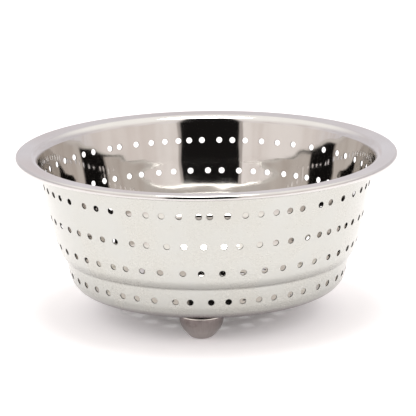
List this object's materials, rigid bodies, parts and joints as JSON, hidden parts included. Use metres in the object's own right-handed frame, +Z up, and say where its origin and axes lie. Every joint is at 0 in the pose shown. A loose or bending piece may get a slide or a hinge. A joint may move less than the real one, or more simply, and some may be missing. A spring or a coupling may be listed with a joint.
{
  "type": "footed colander",
  "caption": "Round pressed-steel colander with a rolled flared rim, a stepped tapering wall with punched drain holes, and welded cup feet.",
  "frame": {"origin": "on the floor under the middle of the bowl, level with the bottoms of the feet", "axes": "+Z up along the bowl's axis, out of its mouth; -Y towards the front foot"},
  "size_m": [0.28, 0.28, 0.12],
  "materials": {
    "bowl_steel": "satin outside, mirror polished inside and on the rim",
    "foot_steel": "drawn, satin, slightly darker than the bowl"
  },
  "bodies": {
    "root": {"bowl": "bowl_steel", "foot_front": "foot_steel", "foot_back_right": "foot_steel", "foot_back_left": "foot_steel"}
  },
  "joints": []
}
